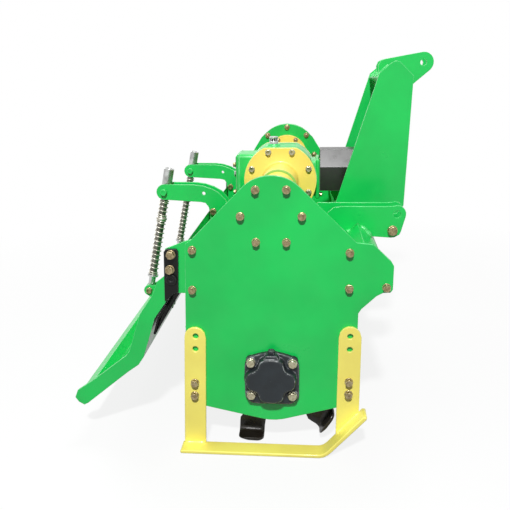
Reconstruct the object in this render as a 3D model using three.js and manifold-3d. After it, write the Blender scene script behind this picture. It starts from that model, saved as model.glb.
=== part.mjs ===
// Rotary tiller, three-point-hitch mounted, with a side gear drive.
// Millimetres. +X is the driving direction, +Y the machine's far side, +Z up, z = 0 the ground.
// Inside the group x = 0 is the rotor's axis; the group is shifted so that the whole tiller is centred.
import * as THREE from 'three';
import { mergeVertices } from 'three/addons/utils/BufferGeometryUtils.js';
import Module from 'manifold-3d';

const wasm = await Module();
wasm.setup();

// ---- driving dimensions ----
const CENTRE_SHIFT = 37;          // from the rotor's axis to the middle of the tiller's length
const GAP = 0.3;                  // between touching pieces
const HALF_WIDTH = 622;           // centre plane to the outer face of a side plate
const PLATE = 8;                  // side plate thickness
const INNER = HALF_WIDTH - PLATE; // centre plane to the inner face of a side plate
const ROTOR_Z = 216;              // rotor axis above the ground
const SHAFT_Z = 654;              // cross shaft and input shaft above the ground
const ROTOR_TUBE_R = 38;
const FLANGE_PITCH = 218;
const BLADES = 6;                 // on each flange
const FIRST_BLADE = 22;           // degrees above the driving direction
const HINGE = [-258.5, 486];      // tailboard hinge, x and z
const ROD_EYE = [-425, 317];      // lower end of a spring rod
const TRUNNION = [-355.5, 645];   // upper pivot of a spring rod
const ARM_Y = 222;                // centre plane to a spring arm
const MAST_Y = 149;               // centre plane to the outer face of a mast plate
const CHEEK_YS = [[334, 342], [388, 396]];
const FRONT_TUBE = [232, 534];    // centre of the diamond tube
const FRONT_TUBE_R = 49.5;
const LOWER_HOLE = [341, 610];
const TOP_HOLE = [453, 1022];

// ---- materials ----
const paint = (color, roughness = 0.35, metalness = 0) =>
  new THREE.MeshStandardMaterial({ color, roughness, metalness });
const green = paint(0x2fbf5c);
const yellow = paint(0xf5d949);
const blackPaint = paint(0x202428);
const bladeBlack = paint(0x17130f, 0.45);
const blackPlastic = paint(0x2b2b2d, 0.5);
const zinc = paint(0xb9b7ac, 0.3, 0.9);

const tiller = new THREE.Group();
tiller.position.x = CENTRE_SHIFT;

function addPart(name, geometry, material, parent = tiller) {
  const mesh = new THREE.Mesh(geometry, material);
  mesh.name = name;
  parent.add(mesh);
  return mesh;
}

// ---- solids ----
function toSolid(geometry) {
  const bare = geometry.clone();
  bare.deleteAttribute('normal');
  bare.deleteAttribute('uv');
  const merged = mergeVertices(bare, 1e-3);
  const vertProperties = new Float32Array(merged.attributes.position.array);
  const triVerts = new Uint32Array(merged.index.array);
  return new wasm.Manifold(new wasm.Mesh({ numProp: 3, vertProperties, triVerts }));
}

function toGeometry(solid) {
  const mesh = solid.getMesh();
  const geometry = new THREE.BufferGeometry();
  geometry.setAttribute('position', new THREE.BufferAttribute(mesh.vertProperties, 3));
  geometry.setIndex(new THREE.BufferAttribute(mesh.triVerts, 1));
  return geometry;
}

const join = (...pieces) => toGeometry(pieces.map(toSolid).reduce((a, b) => a.add(b)));
const cut = (piece, ...tools) => toGeometry(tools.map(toSolid).reduce((a, b) => a.subtract(b), toSolid(piece)));

// A point on a circle in the side view, by its angle in degrees from +X towards +Z.
function polar([x, z], radius, degrees) {
  const angle = THREE.MathUtils.degToRad(degrees);
  return [x + radius * Math.cos(angle), z + radius * Math.sin(angle)];
}

// Points along an arc in the side view.
function arc(centre, radius, from, to, steps = 6) {
  const points = [];
  for (let i = 0; i <= steps; i += 1) points.push(polar(centre, radius, from + ((to - from) * i) / steps));
  return points;
}

function shapeOf(outline, holes = []) {
  const shape = new THREE.Shape(outline.map(([x, z]) => new THREE.Vector2(x, z)));
  for (const [centre, radius] of holes) {
    shape.holes.push(new THREE.Path(arc(centre, radius, 0, 345, 15).map(([x, z]) => new THREE.Vector2(x, z))));
  }
  return shape;
}

// A plate cut to an outline in the side view, from y = low to y = high.
function plate(outline, low, high, holes) {
  const options = { depth: high - low, bevelEnabled: false };
  const geometry = new THREE.ExtrudeGeometry(shapeOf(outline, holes), options);
  return geometry.rotateX(Math.PI / 2).translate(0, high, 0);
}

// The same plate on the near side (side = -1) or the far side (side = 1).
const sidePlate = (outline, side, inner, outer, holes) =>
  plate(outline, Math.min(side * inner, side * outer), Math.max(side * inner, side * outer), holes);

// A bar of constant section along X; the section is given as points of y and z.
function lengthwiseBar(section, rear, front) {
  const geometry = new THREE.ExtrudeGeometry(shapeOf(section), { depth: front - rear, bevelEnabled: false });
  const turn = new THREE.Matrix4().set(0, 0, 1, rear, 1, 0, 0, 0, 0, 1, 0, 0, 0, 0, 0, 1);
  return geometry.applyMatrix4(turn);
}

// A cylinder along Y.
const pinAlongY = (x, z, radius, low, high, sides = 16) =>
  new THREE.CylinderGeometry(radius, radius, high - low, sides).translate(x, (low + high) / 2, z);

// A turned piece along Y from points of radius and y.
function turned(profile, x, z, sides = 28) {
  const points = profile.map(([radius, y]) => new THREE.Vector2(radius, y));
  return new THREE.LatheGeometry(points, sides).translate(x, 0, z);
}

const boxBetween = ([x0, y0, z0], [x1, y1, z1]) =>
  new THREE.BoxGeometry(x1 - x0, y1 - y0, z1 - z0).translate((x0 + x1) / 2, (y0 + y1) / 2, (z0 + z1) / 2);

const diamond = (radius) => arc(FRONT_TUBE, radius, 0, 270, 3);
const SIDES = [['near', -1], ['far', 1]];

// ---- side plates: they carry the rotor, the cross members and the skids ----
// The top is round about the cross shaft, the shoulders fall at 45 degrees and the front has a lobe.
// The far plate's top is wider, to carry the gear case.
const SHOULDER = 101;             // distance of the rear shoulder line from the cross shaft

const farTop = [[172, 629], [142, 683], [112, 731], ...arc([0, SHAFT_Z], 133, 48, 132, 10), [-112, 731], [-142, 683], [-172, 629]];

function sideOutline(top) {
  return [
    [-228, 351], [-228, 131], ...arc([0, ROTOR_Z], 132, -103, -77, 3), [222, 141], [222, 400],
    [229, 412], [266, 448], [282, 457], [300, 458], [306, 466], [306, 528], [299, 540], [254, 583],
    [212, 588], ...top, [-203, 592], [-219, 581],
  ];
}
addPart('near_side_plate', plate(sideOutline(arc([0, SHAFT_Z], SHOULDER, 45, 135, 12)), -HALF_WIDTH, -INNER), green);
addPart('far_side_plate', plate(sideOutline(farTop), INNER, HALF_WIDTH), green);

// ---- gear drive on the far side: a flat case with a bolted cover ----
const CASE_OUTER = 656;
const caseOutline = (grow) => [
  ...arc([0, SHAFT_Z], 133 + grow, 0, 180, 12), ...arc([0, ROTOR_Z], 112 + grow, 180, 360, 12),
];
addPart('gear_case', plate(caseOutline(0), HALF_WIDTH + GAP, CASE_OUTER), green);
addPart('gear_case_cover', plate(caseOutline(-5), CASE_OUTER + GAP, 666), green);

// ---- rotor bearing on the near side: a flange with a domed cap, and a plug in a boss above it ----
const bearingFoot = [
  [-72, 153], [-60, 141], [60, 141], [72, 153], [72, 259], [61, 276], [18, 290], [-18, 290], [-61, 276], [-72, 259],
];
addPart('rotor_bearing', join(
  plate(bearingFoot, -HALF_WIDTH - 14, -HALF_WIDTH - GAP),
  plate([[-21, 262], [21, 262], [21, 279], [14, 290], [-14, 290], [-21, 279]], -655, -HALF_WIDTH - GAP),
  new THREE.CylinderGeometry(9.5, 9.5, 16, 20).rotateX(Math.PI / 2).translate(0, -639, 293),
  turned([[0, -663], [50, -663], [61, -655], [64, -630], [0, -630]], 0, ROTOR_Z),
), blackPaint);

// ---- cross members between the side plates ----
const frontTube = cut(
  plate(diamond(FRONT_TUBE_R), -INNER + GAP, INNER - GAP),
  plate(diamond(FRONT_TUBE_R - 8.5), -INNER, INNER),
);
addPart('front_tube', frontTube, green);
addPart('front_bar', plate([[276, 460], [303, 460], [303, 487], [276, 487]], -INNER + GAP, INNER - GAP), green);

// The rear rail is a channel, open below, with a plate at each end that the tailboard's pins pass through.
const railSection = [[-246, 508], [-216, 508], [-216, 585], [-246, 540]];
const railInside = [[-241, 500], [-221, 500], [-221, 568.5], [-241, 538.5]];
const railEnd = [[-273, 480], [-253, 446], [-223, 446], [-223, 510], [-205, 510], [-205, 591], [-218, 587], [-273, 566]];
const RAIL_END = 608;
const railTube = cut(plate(railSection, -RAIL_END - 2, RAIL_END + 2), plate(railInside, -RAIL_END, RAIL_END));
addPart('rear_rail', join(
  railTube,
  ...SIDES.map(([, side]) => sidePlate(railEnd, side, RAIL_END, INNER - GAP, [[HINGE, 9]])),
), green);

// The hood is bent over the rotor and closed up to the rail and to the front tube.
const HOOD_R = 262;
const HOOD_SHEET = 5;
const rotorAxis = [0, ROTOR_Z];
const hoodArc = [...arc(rotorAxis, HOOD_R + HOOD_SHEET, 38, 150, 18), ...arc(rotorAxis, HOOD_R, 150, 38, 18)];
const rearWall = [[-222, 362], [-216.3, 362], [-216.3, 507.7], [-222, 507.7]];
const frontWall = [[207, 379], [211, 375], [236, 484], [231, 484.2]];
addPart('hood', join(
  ...[hoodArc, rearWall, frontWall].map((outline) => plate(outline, -INNER + GAP, INNER - GAP)),
), green);

// ---- gearbox, its stand and the two trumpets of the cross shaft ----
const BOX_R = 120;
const BOX_FLAT = 108;             // height of the flat top above the cross shaft
const flatAngle = THREE.MathUtils.radToDeg(Math.asin(BOX_FLAT / BOX_R));
const roundWithFlats = [
  ...arc([0, SHAFT_Z], BOX_R, -flatAngle, flatAngle, 10),
  ...arc([0, SHAFT_Z], BOX_R, 180 - flatAngle, 180 + flatAngle, 10),
];
const BOX_HALF = 80;
addPart('gearbox', join(
  plate(roundWithFlats, -BOX_HALF, BOX_HALF),
  plate([
    [-60, 592], [-60, 738], [-134, 738], [-142, 736.2], [-149, 731], [-152, 723], [-152, 604], [-148.5, 595.5], [-140, 592],
  ], -64, 64),
  boxBetween([60, -60, 596], [119, 60, 715]),
  boxBetween([118, -66, 588], [131, 66, 721]),
  new THREE.CylinderGeometry(23, 23, 18, 24).rotateX(Math.PI / 2).translate(-24, -24, SHAFT_Z + BOX_FLAT - 2),
), green);

const standTop = SHAFT_Z - BOX_FLAT - GAP;
addPart('gearbox_stand', cut(
  join(
    boxBetween([-95, -70, standTop - 10], [95, 70, standTop]),
    ...SIDES.map(([, side]) => sidePlate(
      [[-100, 440], [100, 440], [95, standTop - 5], [-95, standTop - 5]], side, 62, 70,
    )),
  ),
  pinAlongY(0, ROTOR_Z, HOOD_R + HOOD_SHEET + GAP * 2, -200, 200, 128),
), green);

for (const [name, side] of SIDES) {
  const profile = [
    [0, 84], [64, 84], [64, 94], [58, 102], [58, 236], [50, 243], [50, 598], [87, 600], [87, INNER - GAP], [0, INNER - GAP],
  ].map(([radius, y]) => [radius, side * y]);
  if (side > 0) profile.reverse();
  profile.reverse();
  addPart(`trumpet_${name}`, join(
    sidePlate(roundWithFlats, side, BOX_HALF + GAP, BOX_HALF + 12),
    turned(profile, 0, SHAFT_Z),
  ), yellow);
}

// ---- guard over the input shaft: a channel with sloping shoulders, open below and in front ----
const GUARD_FRONT = 290;
const guardHalf = (half, shoulder, top) => [[half, 617], [half, 696 - shoulder], [38 - shoulder, top]];
const mirrored = (points) => [...points, ...points.map(([y, z]) => [-y, z]).reverse()];
addPart('pto_guard', cut(
  lengthwiseBar(mirrored(guardHalf(70, 0, 750)), 131 + GAP, GUARD_FRONT),
  lengthwiseBar(mirrored([[66, 600], ...guardHalf(66, 2, 746).slice(1)]), 100, GUARD_FRONT + 10),
), blackPlastic);

const SHAFT_END = 218;
const shaftGeometry = new THREE.CylinderGeometry(17.5, 17.5, SHAFT_END - 134, 24).rotateZ(Math.PI / 2);
const inputShaft = new THREE.Group();
inputShaft.position.set((SHAFT_END + 134) / 2, 0, SHAFT_Z);
tiller.add(inputShaft);
addPart('input_shaft', shaftGeometry, zinc, inputShaft);

// ---- lower hitch: two cheeks a side, notched onto the front tube ----
const cheekFront = [[262, 546], [326, 542], [336, 543], [350, 551], [354, 560], ...arc(LOWER_HOLE, 25, -10, 110, 6), [318, 632]];
const cheekOutline = {
  inner: [[112, 572], [150, 562], ...cheekFront, [120, 632], [112, 624]],
  outer: [[150, 562], ...cheekFront, [189, 632], [165, 629], [147, 614]],
};
for (const [name, side] of SIDES) {
  for (const [place, [inner, outer]] of [['inner', CHEEK_YS[0]], ['outer', CHEEK_YS[1]]]) {
    const cheek = sidePlate(cheekOutline[place], side, inner, outer, [[LOWER_HOLE, 11]]);
    addPart(`hitch_cheek_${name}_${place}`, cut(cheek, plate(diamond(FRONT_TUBE_R + 0.45), -500, 500)), green);
  }
}

// ---- mast: two tapered plates, a cross tie and the pair of top-link lugs ----
const mastOutline = [
  [284, 536], [382, 560], [397, 584], [406, 982], [366, 1021], [353, 1026], [340, 1021], [304, 991], [183, 598],
  [176, 570], [196, 536],
];
const notch = () => plate(diamond(FRONT_TUBE_R + 0.45), -500, 500);
for (const [name, side] of SIDES) {
  addPart(`mast_plate_${name}`, cut(sidePlate(mastOutline, side, MAST_Y - PLATE, MAST_Y), notch()), green);
}
const tieOutline = [[302, 978], [341, 1015], [366, 989], [327, 952]];
addPart('mast_tie', plate(tieOutline, -MAST_Y + PLATE + GAP, MAST_Y - PLATE - GAP), green);

const tieHole = [[301.6, 978], [341, 1015.5], [366.4, 989], [327, 951.5]];
const lugOutline = [
  [322, 935], [378, 925], [424, 956], ...arc(TOP_HOLE, 32, -45, 95, 8), [330, 1034], [318, 1028], [312, 1014],
];
for (const [name, side] of SIDES) {
  const lug = sidePlate(lugOutline, side, 26, 35, [[TOP_HOLE, 10]]);
  addPart(`top_link_lug_${name}`, cut(lug, plate(tieHole, -60, 60)), green);
}

// ---- spring arms: two cheeks and a web, standing against the rail ----
const armOutline = [
  [-214, 522], [-150, 510], [-150, 592], [-163, 622], [-182, 642], [-205, 655], [-232, 664], [-261, 668],
  ...arc(TRUNNION, 24, 88, 272, 8), [-240, 614], [-226, 611], [-216, 598], [-212, 570],
];
const armHoles = [[[TRUNNION, 8.5], [[-230.5, 641], 5.5]], [[TRUNNION, 8.5], [[-239.5, 631.5], 7]]];
const webOutline = [[-205, 512], [-152, 508], [-152, 580], [-160, 600], [-205, 600]];
for (const [name, side] of SIDES) {
  const middle = side * ARM_Y;
  addPart(`spring_arm_${name}`, join(
    plate(armOutline, middle - 27, middle - 20, armHoles[0]),
    plate(armOutline, middle + 20, middle + 27, armHoles[1]),
    plate(webOutline, middle - 21, middle + 21),
  ), green);
}

// ---- skids: front and rear struts on a sole that turns up in front ----
const SOLE = 10;
const rearStrut = [[-245, SOLE + GAP], [-185, SOLE + GAP], [-174, 327], ...arc([-203, 327], 29, 30, 150, 5), [-231, 327]];
const frontStrut = [[172, 49.8], [232, 119.7], [232, 336], ...arc([203, 336], 29, 30, 150, 5), [174, 336]];
const soleOutline = [
  [-244, 0], [128, 0], [140, 3], [150, 9.5], [160, 19], [249, 120.5], [251, 126], [247, 129.5], [240, 128.3],
  [150, 23.5], [141, 15], [131, 10.8], [120, SOLE], [-244, SOLE],
  ...arc([-246, 5], 5, 110, 250, 4),
];
const spareHoles = { rear: [[[-201, 331], 8], [[-203, 294], 8]], front: [[[203, 339], 8], [[203, 302], 8]] };
for (const [name, side] of SIDES) {
  const [inner, outer] = [HALF_WIDTH + GAP, HALF_WIDTH + 8];
  addPart(`skid_rear_strut_${name}`, sidePlate(rearStrut, side, inner, outer, spareHoles.rear), yellow);
  addPart(`skid_front_strut_${name}`, sidePlate(frontStrut, side, inner, outer, spareHoles.front), yellow);
  addPart(`skid_sole_${name}`, sidePlate(soleOutline, side, inner, inner + 48), yellow);
}

// ---- tailboard hinge brackets with their pins ----
const bracketOutline = [[-280, 424], [-253, 448], [-243, 450], [-238, 560], [-243, 567], [-269, 567], [-275, 560]];
for (const [name, side] of SIDES) {
  const pin = side < 0 ? [-620, -590] : [590, 620];
  addPart(`tail_bracket_${name}`, join(
    sidePlate(bracketOutline, side, INNER, HALF_WIDTH),
    pinAlongY(...HINGE, 8, ...pin),
  ), blackPaint);
}

// ---- tailboard: a sheet bent in a shallow V, end plates, an edge tube and two pairs of lugs ----
const TAIL_END = 602;
const endPlate = [
  [-286, 410], [-316, 367], [-327, 332], [-335, 307], [-354, 252], [-369, 230], [-402, 206], [-522, 108],
  [-535, 101], [-550, 110], [-559, 124], [-550, 146], [-527, 162], [-499, 181], [-400, 258], [-391, 273],
  [-363, 356], [-355, 380], [-317, 435], [-303, 472], ...arc(HINGE, 16, 140, -60, 8),
].reverse();
const sheetOutline = [
  [-272, 440], [-286, 410], [-316, 367], [-327, 332], [-335, 307], [-354, 252], [-369, 230], [-402, 206], [-522, 108],
  [-533, 103], [-537, 109], [-526, 114], [-406, 212], [-374, 235], [-360, 255], [-341, 309], [-333, 334],
  [-321, 370], [-292, 413], [-278, 442],
].reverse();
const edgeTube = [[-529, 158], [-500, 178], [-478, 148], [-507, 126]];
const eyeLug = [...arc(ROD_EYE, 18, 60, 250, 8), [-372, 262], [-350, 255], [-337, 320], [-350, 345]];
const lugGap = 12;
addPart('tailboard', join(
  plate(sheetOutline, -TAIL_END + 2, TAIL_END - 2),
  plate(edgeTube, -TAIL_END + 2, TAIL_END - 2),
  ...SIDES.flatMap(([, side]) => [
    sidePlate(endPlate, side, TAIL_END - 7, TAIL_END, [[HINGE, 8.5]]),
    plate(eyeLug, side * ARM_Y - lugGap - 8, side * ARM_Y - lugGap),
    plate(eyeLug, side * ARM_Y + lugGap, side * ARM_Y + lugGap + 8),
    pinAlongY(...ROD_EYE, 7, side * ARM_Y - lugGap - 6, side * ARM_Y + lugGap + 6, 12),
  ]),
), green);

// ---- spring rods, springs and the trunnions that they slide through ----
const ROD_R = 7.5;
const rodLean = Math.atan2(TRUNNION[0] - ROD_EYE[0], TRUNNION[1] - ROD_EYE[1]);
const rodSpan = Math.hypot(TRUNNION[0] - ROD_EYE[0], TRUNNION[1] - ROD_EYE[1]);
const ROD_TOP = rodSpan + 72;
const springEnds = [52, rodSpan - 30];
const rodProfile = [
  [0, 12], [11, 12], [11, 44], [17.5, 46], [17.5, 51], [ROD_R, 51.5], [ROD_R, rodSpan + 15.5],
  [15.5, rodSpan + 16], [15.5, ROD_TOP], [0, ROD_TOP],
];
const springProfile = [[9.8, springEnds[0]], [15.5, springEnds[0]], [15.5, springEnds[1]], [9.8, springEnds[1]]];
const uprightTurn = (profile, sides) => {
  const points = profile.map(([radius, z]) => new THREE.Vector2(radius, z));
  return new THREE.LatheGeometry(points, sides).rotateX(Math.PI / 2);
};
for (const [name, side] of SIDES) {
  const rod = new THREE.Group();
  rod.position.set(ROD_EYE[0], side * ARM_Y, ROD_EYE[1]);
  rod.rotation.y = rodLean;
  tiller.add(rod);
  const eye = new THREE.CylinderGeometry(16, 16, 18, 20);
  const eyeBore = new THREE.CylinderGeometry(7.5, 7.5, 30, 16);
  addPart(`spring_rod_${name}`, cut(join(uprightTurn(rodProfile, 20), eye), eyeBore), zinc, rod);
  const ring = [...springProfile, springProfile[0]];
  addPart(`tail_spring_${name}`, uprightTurn(ring, 20), zinc, rod);

  const trunnion = new THREE.Group();
  trunnion.position.set(TRUNNION[0], side * ARM_Y, TRUNNION[1]);
  trunnion.rotation.y = rodLean;
  tiller.add(trunnion);
  const block = join(
    new THREE.CylinderGeometry(15, 15, 36, 20),
    new THREE.CylinderGeometry(8, 8, 58, 16),
  );
  const rodBore = new THREE.CylinderGeometry(11, 11, 60, 20).rotateX(Math.PI / 2);
  addPart(`trunnion_${name}`, cut(block, rodBore), zinc, trunnion);
}

// ---- rotor: a tube and six flanges, each with six blades ----
// The blades are bent by turns to either side, and on the two end flanges all towards the side plates.
const rotor = new THREE.Group();
rotor.position.z = ROTOR_Z;
tiller.add(rotor);
addPart('rotor_tube', new THREE.CylinderGeometry(ROTOR_TUBE_R, ROTOR_TUBE_R, 2 * 604, 24), bladeBlack, rotor);

// Blade outline: first number outwards from the axis, second in the cutting direction. The tips sweep 232.5 mm.
const shank = [
  [48, -26], [112, -27], [150, -18], [178, -2], [214.9, -3.2], [222.4, 67.8], [190, 71], [163, 60], [140, 40],
  [110, 29], [48, 26],
];
const foot = [[214.9, -3.2], [222.4, 67.8], [214.4, 68.6], [206.9, -2.4]];

function bladePoints(outline, degrees) {
  const angle = THREE.MathUtils.degToRad(degrees);
  const [c, s] = [Math.cos(angle), Math.sin(angle)];
  return outline.map(([out, ahead]) => [out * c + ahead * s, out * s - ahead * c]).reverse();
}
for (let i = 0; i < 6; i += 1) {
  const y = FLANGE_PITCH * (i - 2.5);
  const pieces = [turned([
    [ROTOR_TUBE_R + GAP, y - 5], [75, y - 5], [75, y + 5], [ROTOR_TUBE_R + GAP, y + 5], [ROTOR_TUBE_R + GAP, y - 5],
  ], 0, 0, 24)];
  for (let k = 0; k < BLADES; k += 1) {
    const degrees = FIRST_BLADE + (360 / BLADES) * k;
    const side = { 0: -1, 5: 1 }[i] ?? (k % 2 ? 1 : -1);
    const near = y + side * 4;
    pieces.push(plate(bladePoints(shank, degrees), Math.min(near, near + side * 8), Math.max(near, near + side * 8)));
    pieces.push(plate(bladePoints(foot, degrees), Math.min(near, y + side * 57), Math.max(near, y + side * 57)));
  }
  addPart(`blade_flange_${i + 1}`, join(...pieces), bladeBlack, rotor);
}

export default tiller;
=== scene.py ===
import math
import bpy
import bmesh
import numpy as np
from mathutils import Matrix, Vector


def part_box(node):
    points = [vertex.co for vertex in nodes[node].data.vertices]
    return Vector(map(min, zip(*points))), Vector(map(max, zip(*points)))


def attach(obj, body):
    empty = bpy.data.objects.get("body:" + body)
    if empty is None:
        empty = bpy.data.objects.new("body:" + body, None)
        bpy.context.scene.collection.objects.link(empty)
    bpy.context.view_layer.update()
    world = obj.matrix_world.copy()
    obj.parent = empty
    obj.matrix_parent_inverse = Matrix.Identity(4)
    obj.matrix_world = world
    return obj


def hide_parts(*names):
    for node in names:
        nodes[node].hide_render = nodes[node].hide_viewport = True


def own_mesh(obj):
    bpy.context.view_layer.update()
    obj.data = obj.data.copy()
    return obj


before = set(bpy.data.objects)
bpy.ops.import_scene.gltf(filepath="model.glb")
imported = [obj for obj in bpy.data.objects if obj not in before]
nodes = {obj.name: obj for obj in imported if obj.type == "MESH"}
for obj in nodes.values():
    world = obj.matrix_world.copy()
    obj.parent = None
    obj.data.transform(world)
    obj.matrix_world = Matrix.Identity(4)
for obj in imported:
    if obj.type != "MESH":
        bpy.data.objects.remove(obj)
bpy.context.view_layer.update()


# ---- The view ----
# A camera on a stand beside the near side plate, a little below the top of the mast, looking slightly
# down along the rotor.
yaw, pitch, roll = np.radians([-5.03, 16.43, -0.9])
forward = np.array([math.sin(yaw) * math.cos(pitch), math.cos(yaw) * math.cos(pitch), -math.sin(pitch)])
level = np.array([math.cos(yaw), -math.sin(yaw), 0.0])
upright = np.cross(level, forward)
rightward = math.cos(roll) * level + math.sin(roll) * upright
upward = math.cos(roll) * upright - math.sin(roll) * level
stand = bpy.data.objects.new("stand", bpy.data.cameras.new("stand"))
turn = Matrix(np.column_stack([rightward, upward, -forward]).tolist()).to_4x4()
stand.matrix_world = Matrix.Translation((0.1234, -2.068, 0.982)) @ turn
stand.data.sensor_width = 36.0
stand.data.lens = 42.35
bpy.context.scene.collection.objects.link(stand)
bpy.context.scene.camera = stand


# ---- Side plates ----
# Two 8 mm steel plates, laser cut, carry the rotor, the cross shaft and the skids. They are sprayed with
# green enamel, which lies thin along the cut edges; there its colour also carries a pale painted highlight.
def join(tree, target, inputs):
    """Sets a node's inputs, each to a number or colour, or with a link from a socket."""
    for key, value in inputs.items():
        if isinstance(value, bpy.types.NodeSocket):
            tree.links.new(value, target.inputs[key])
        else:
            target.inputs[key].default_value = value


def node(tree, kind, inputs=None, **choices):
    """One shader node. choices are its own settings; inputs are numbers, colours or sockets to link."""
    made = tree.nodes.new("ShaderNode" + kind)
    for key, value in choices.items():
        setattr(made, key, value)
    join(tree, made, inputs or {})
    return made


def noise(tree, scale, detail=3.0, rough=0.55, stretch=(1, 1, 1)):
    """Cloudy noise on the object's own coordinates, scale in patches a metre, as a factor about 0.5."""
    spot = node(tree, "TexCoord").outputs["Object"]
    spot = node(tree, "Mapping", {"Vector": spot, "Scale": stretch}).outputs["Vector"]
    made = node(tree, "TexNoise", {"Vector": spot, "Scale": scale, "Detail": detail, "Roughness": rough})
    return made.outputs["Fac"]


def spread(tree, value, low, high, start=0.0, end=1.0):
    """value from low to high stretched to start to end, and held at those outside it."""
    inputs = {"Value": value, "From Min": low, "From Max": high, "To Min": start, "To Max": end}
    return node(tree, "MapRange", inputs).outputs["Result"]


def product(tree, a, b):
    return node(tree, "Math", {0: a, 1: b}, operation="MULTIPLY").outputs["Value"]


def blend_colour(tree, factor, first, second):
    """first where factor is 0, second where it is 1."""
    made = node(tree, "Mix", {0: factor}, data_type="RGBA")
    for slot, colour in ((6, first), (7, second)):
        join(tree, made, {slot: (*colour, 1.0) if isinstance(colour, tuple) else colour})
    return made.outputs[2]


def bump(tree, height, strength, distance, normal=None):
    """The normal of a surface raised by height, on top of another normal if one is given."""
    below = {} if normal is None else {"Normal": normal}
    inputs = {"Height": height, "Strength": strength, "Distance": distance, **below}
    return node(tree, "Bump", inputs).outputs["Normal"]


def edges(tree, radius):
    """The rounded normal over that radius, and a factor that rises from 0 on faces to 1 on outer edges."""
    rounded = node(tree, "Bevel", {"Radius": radius}, samples=6).outputs["Normal"]
    facing = node(tree, "NewGeometry").outputs["True Normal"]
    kept = node(tree, "VectorMath", {0: rounded, 1: facing}, operation="DOT_PRODUCT").outputs["Value"]
    return rounded, spread(tree, kept, 0.99, 0.86)


def new_finish(name):
    """An empty material with its node tree and its shader."""
    made = bpy.data.materials.new(name)
    made.use_nodes = True
    return made, made.node_tree, made.node_tree.nodes["Principled BSDF"]


def enamel(name, colour, thin_and_highlit, roughness=0.33, peel=0.05, rounding=0.0022, coat=0.15, grain=420.0):
    """Sprayed enamel: colour drifts a few per cent in patches 0.2 m across, a fine orange-peel ripple
    lifts the film, roughness drifts with a second noise, and along rounded edges the colour goes to a pale
    one: thin film and a painted highlight."""
    made, tree, shader = new_finish(name)
    patches = spread(tree, noise(tree, 5.0), 0.35, 0.65)
    shade = tuple(c * 0.88 for c in colour)
    base = blend_colour(tree, patches, shade, tuple(min(c * 1.06, 1.0) for c in colour))
    specks = spread(tree, noise(tree, 90.0, 4.0, 0.7), 0.63, 0.78, 0.0, 0.16)
    base = blend_colour(tree, specks, base, tuple(c * 0.55 for c in colour))
    # Painted highlight: along rounded edges the colour is blended to the pale one, which also stands for the
    # thin film there.
    rounded, edge = edges(tree, rounding)
    broken = spread(tree, noise(tree, 28.0, 5.0, 0.65), 0.40, 0.62, 0.25, 0.95)
    join(tree, shader, {
        "Base Color": blend_colour(tree, product(tree, edge, broken), base, thin_and_highlit),
        "Roughness": spread(tree, noise(tree, 14.0, 4.0), 0.3, 0.7, roughness - 0.06, roughness + 0.09),
        "Coat Weight": coat,
        "Coat Roughness": 0.12,
        "Normal": bump(tree, noise(tree, grain, 2.0), peel, 0.001, rounded),
    })
    return made


def finish_in(material, *names):
    """Gives CAD nodes that material in every slot of the object."""
    for name in names:
        for place in nodes[name].material_slots:
            place.link = "OBJECT"
            place.material = material


green = enamel("green_enamel", (0.004, 0.545, 0.088), (0.36, 0.86, 0.50))
finish_in(green, "near_side_plate", "far_side_plate")

rotor_low, rotor_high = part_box("rotor_bearing")
AXIS_X = (rotor_low.x + rotor_high.x) / 2
ROTOR_Z = 0.216
SHAFT_Z = 0.654
ROTOR = (AXIS_X, ROTOR_Z)
SHAFT = (AXIS_X, SHAFT_Z)
OUTER = -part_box("near_side_plate")[0].y
INNER = -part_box("near_side_plate")[1].y


def mesh_piece(name, surfaces, material, body="frame", crease=35.0):
    """One object from (points, faces) surfaces. Doubled points at seams and poles are merged, faces turned
    outwards, and edges sharper than crease degrees kept hard."""
    points = np.concatenate([np.reshape(p, (-1, 3)) for p, _ in surfaces])
    starts = np.cumsum([0] + [np.size(p) // 3 for p, _ in surfaces[:-1]])
    faces = [f for first, (_, quads) in zip(starts, surfaces) for f in (np.asarray(quads) + first).tolist()]
    data = bpy.data.meshes.new(name)
    data.from_pydata(points.tolist(), [], faces)
    work = bmesh.new()
    work.from_mesh(data)
    bmesh.ops.remove_doubles(work, verts=work.verts, dist=2e-6)
    bmesh.ops.dissolve_degenerate(work, edges=work.edges, dist=1e-6)
    bmesh.ops.recalc_face_normals(work, faces=work.faces)
    work.to_mesh(data)
    work.free()
    data.shade_smooth()
    data.set_sharp_from_angle(angle=math.radians(crease))
    data.materials.append(material)
    piece = bpy.data.objects.new(name, data)
    bpy.context.scene.collection.objects.link(piece)
    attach(piece, body)
    return piece


def skin(rows, columns):
    """Quads between neighbouring rows of a grid whose last column joins its first."""
    r, c = np.meshgrid(np.arange(rows - 1), np.arange(columns), indexing="ij")
    after = (c + 1) % columns
    corners = [r * columns + c, r * columns + after, (r + 1) * columns + after, (r + 1) * columns + c]
    return np.stack(corners, -1).reshape(-1, 4)


def turned(rows, origin, direction, sides=48, start=0.0):
    """A surface about an axis: the point at height h and angle t is origin + h * axis + radius(h, t) *
    (cos t * across + sin t * aside). Each row is (h, radius), and a radius is one number, or one for each
    angle where the section isn't round."""
    count = max(np.size(radius) for _, radius in rows)
    count = sides if count == 1 else count
    heights = np.array([h for h, _ in rows], float)
    radii = np.stack([np.broadcast_to(np.asarray(radius, float), count) for _, radius in rows])
    axis = np.array(direction, float) / np.linalg.norm(direction)
    guide = np.array([0.0, 0.0, 1.0]) if abs(axis[2]) < 0.9 else np.array([1.0, 0.0, 0.0])
    across = np.cross(guide, axis)
    across /= np.linalg.norm(across)
    aside = np.cross(axis, across)
    angle = start + 2 * math.pi * np.arange(count) / count
    ring = np.cos(angle)[:, None] * across + np.sin(angle)[:, None] * aside
    points = np.array(origin) + heights[:, None, None] * axis + radii[:, :, None] * ring
    return points, skin(*radii.shape)


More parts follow.
